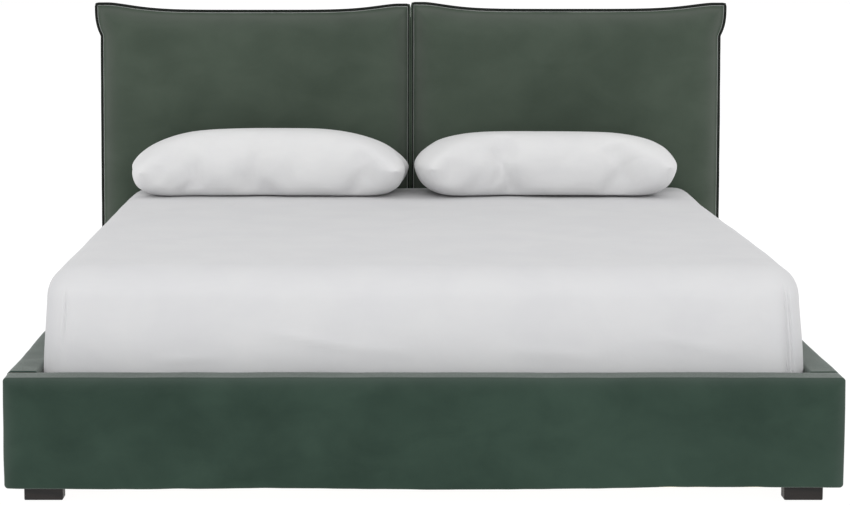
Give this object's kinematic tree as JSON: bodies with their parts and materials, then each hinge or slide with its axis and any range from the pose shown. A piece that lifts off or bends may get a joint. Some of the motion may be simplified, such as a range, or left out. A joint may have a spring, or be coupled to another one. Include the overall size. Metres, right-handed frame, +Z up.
{
  "type": "upholstered headboard bed",
  "caption": "King size bed upholstered in green velvet, with a low box frame, hook-on flanged headboard cushions, slats, mattress, white bedding and plump pillows.",
  "frame": {"origin": "on the floor under the middle of the bed", "axes": "+X to the right seen from the foot of the bed, +Y towards the headboard, +Z up"},
  "size_m": [2.18, 2.346, 1.229],
  "materials": {
    "green_velvet": "matte",
    "upholstery_foam": "matte",
    "frame_timber": "matte",
    "slat_timber": "matte",
    "plywood": "matte",
    "stained_foot_timber": "satin",
    "leg_beech": "satin",
    "black_bracket_steel": "satin",
    "zinc_steel": "satin",
    "leveller_plastic": "matte",
    "cleat_aluminium": "satin",
    "black_dust_cloth": "matte",
    "mattress_foam": "matte",
    "ticking": "matte",
    "quilted_pad": "matte",
    "white_coverlet": "matte",
    "pillow_fibre": "matte",
    "white_pillowcase": "matte"
  },
  "bodies": {
    "frame": {"beam_hangers": "black_bracket_steel", "centre_beam": "frame_timber", "centre_legs": "leg_beech", "corner_bolts": "zinc_steel", "corner_brackets": "black_bracket_steel", "foot_front_left": "stained_foot_timber", "foot_front_right": "stained_foot_timber", "foot_ledger": "frame_timber", "foot_rear_left": "stained_foot_timber", "foot_rear_right": "stained_foot_timber", "foot_screws": "zinc_steel", "footboard_cover": "green_velvet", "footboard_foam": "upholstery_foam", "footboard_frame": "frame_timber", "head_stop_board": "frame_timber", "headboard_back_cover": "green_velvet", "headboard_cleats": "cleat_aluminium", "headboard_cross_rail_high": "frame_timber", "headboard_cross_rail_low": "frame_timber", "headboard_cross_rail_middle": "frame_timber", "headboard_dust_cloth": "black_dust_cloth", "headboard_plywood_face": "plywood", "headboard_post_left": "frame_timber", "headboard_post_right": "frame_timber", "headboard_stiles": "frame_timber", "insert_nuts": "zinc_steel", "leg_inserts": "zinc_steel", "leg_plates": "black_bracket_steel", "side_ledger_left": "frame_timber", "side_ledger_right": "frame_timber", "side_rail_cover_left": "green_velvet", "side_rail_cover_right": "green_velvet", "side_rail_foam_left": "upholstery_foam", "side_rail_foam_right": "upholstery_foam", "side_rail_frame_left": "frame_timber", "side_rail_frame_right": "frame_timber", "slat_screws": "zinc_steel", "slats": "slat_timber"},
    "headboard_cushion_left": {"cushion_board_left": "plywood", "cushion_foam_left": "upholstery_foam", "cushion_cover_left": "green_velvet", "cushion_cleat_left": "cleat_aluminium"},
    "headboard_cushion_right": {"cushion_board_right": "plywood", "cushion_foam_right": "upholstery_foam", "cushion_cover_right": "green_velvet", "cushion_cleat_right": "cleat_aluminium"},
    "mattress": {"mattress_core": "mattress_foam", "mattress_ticking": "ticking", "mattress_pad": "quilted_pad", "coverlet": "white_coverlet"},
    "pillow_left": {"pillow_insert_left": "pillow_fibre", "pillowcase_left": "white_pillowcase"},
    "pillow_right": {"pillow_insert_right": "pillow_fibre", "pillowcase_right": "white_pillowcase"},
    "pad_foot": {"leveller_pad_foot": "leveller_plastic"},
    "stem_foot": {"leveller_stem_foot": "zinc_steel"},
    "pad_middle": {"leveller_pad_middle": "leveller_plastic"},
    "stem_middle": {"leveller_stem_middle": "zinc_steel"},
    "pad_head": {"leveller_pad_head": "leveller_plastic"},
    "stem_head": {"leveller_stem_head": "zinc_steel"}
  },
  "joints": [
    {"name": "headboard_cushion_left_lift", "type": "slide", "parent": "frame", "child": "headboard_cushion_left", "axis": [0, 0, 1], "range_m": [0, 0.025]},
    {"name": "headboard_cushion_right_lift", "type": "slide", "parent": "frame", "child": "headboard_cushion_right", "axis": [0, 0, 1], "range_m": [0, 0.025]},
    {"name": "mattress_lift", "type": "slide", "parent": "frame", "child": "mattress", "axis": [0, 0, 1], "range_m": [0, 0.35]},
    {"name": "pillow_left_lift", "type": "slide", "parent": "mattress", "child": "pillow_left", "axis": [0, 0, 1], "range_m": [0, 0.3]},
    {"name": "pillow_right_lift", "type": "slide", "parent": "mattress", "child": "pillow_right", "axis": [0, 0, 1], "range_m": [0, 0.3]},
    {"name": "leveller_rise_foot", "type": "slide", "parent": "frame", "child": "pad_foot", "axis": [0, 0, 1], "range_m": [0, 0.012]},
    {"name": "leveller_turn_foot", "type": "hinge", "parent": "pad_foot", "child": "stem_foot", "pos_m": [0, -0.566, 0.0074], "axis": [0, 0, 1], "range_deg": [0, 3460]},
    {"name": "leveller_rise_middle", "type": "slide", "parent": "frame", "child": "pad_middle", "axis": [0, 0, 1], "range_m": [0, 0.012]},
    {"name": "leveller_turn_middle", "type": "hinge", "parent": "pad_middle", "child": "stem_middle", "pos_m": [0, -0.047, 0.0074], "axis": [0, 0, 1], "range_deg": [0, 3460]},
    {"name": "leveller_rise_head", "type": "slide", "parent": "frame", "child": "pad_head", "axis": [0, 0, 1], "range_m": [0, 0.012]},
    {"name": "leveller_turn_head", "type": "hinge", "parent": "pad_head", "child": "stem_head", "pos_m": [0, 0.472, 0.0074], "axis": [0, 0, 1], "range_deg": [0, 3460]}
  ],
  "couplings": [
    {"joint": "leveller_turn_foot", "follows": "leveller_rise_foot", "rad_per_m": 5026.5},
    {"joint": "leveller_turn_middle", "follows": "leveller_rise_middle", "rad_per_m": 5026.5},
    {"joint": "leveller_turn_head", "follows": "leveller_rise_head", "rad_per_m": 5026.5}
  ]
}
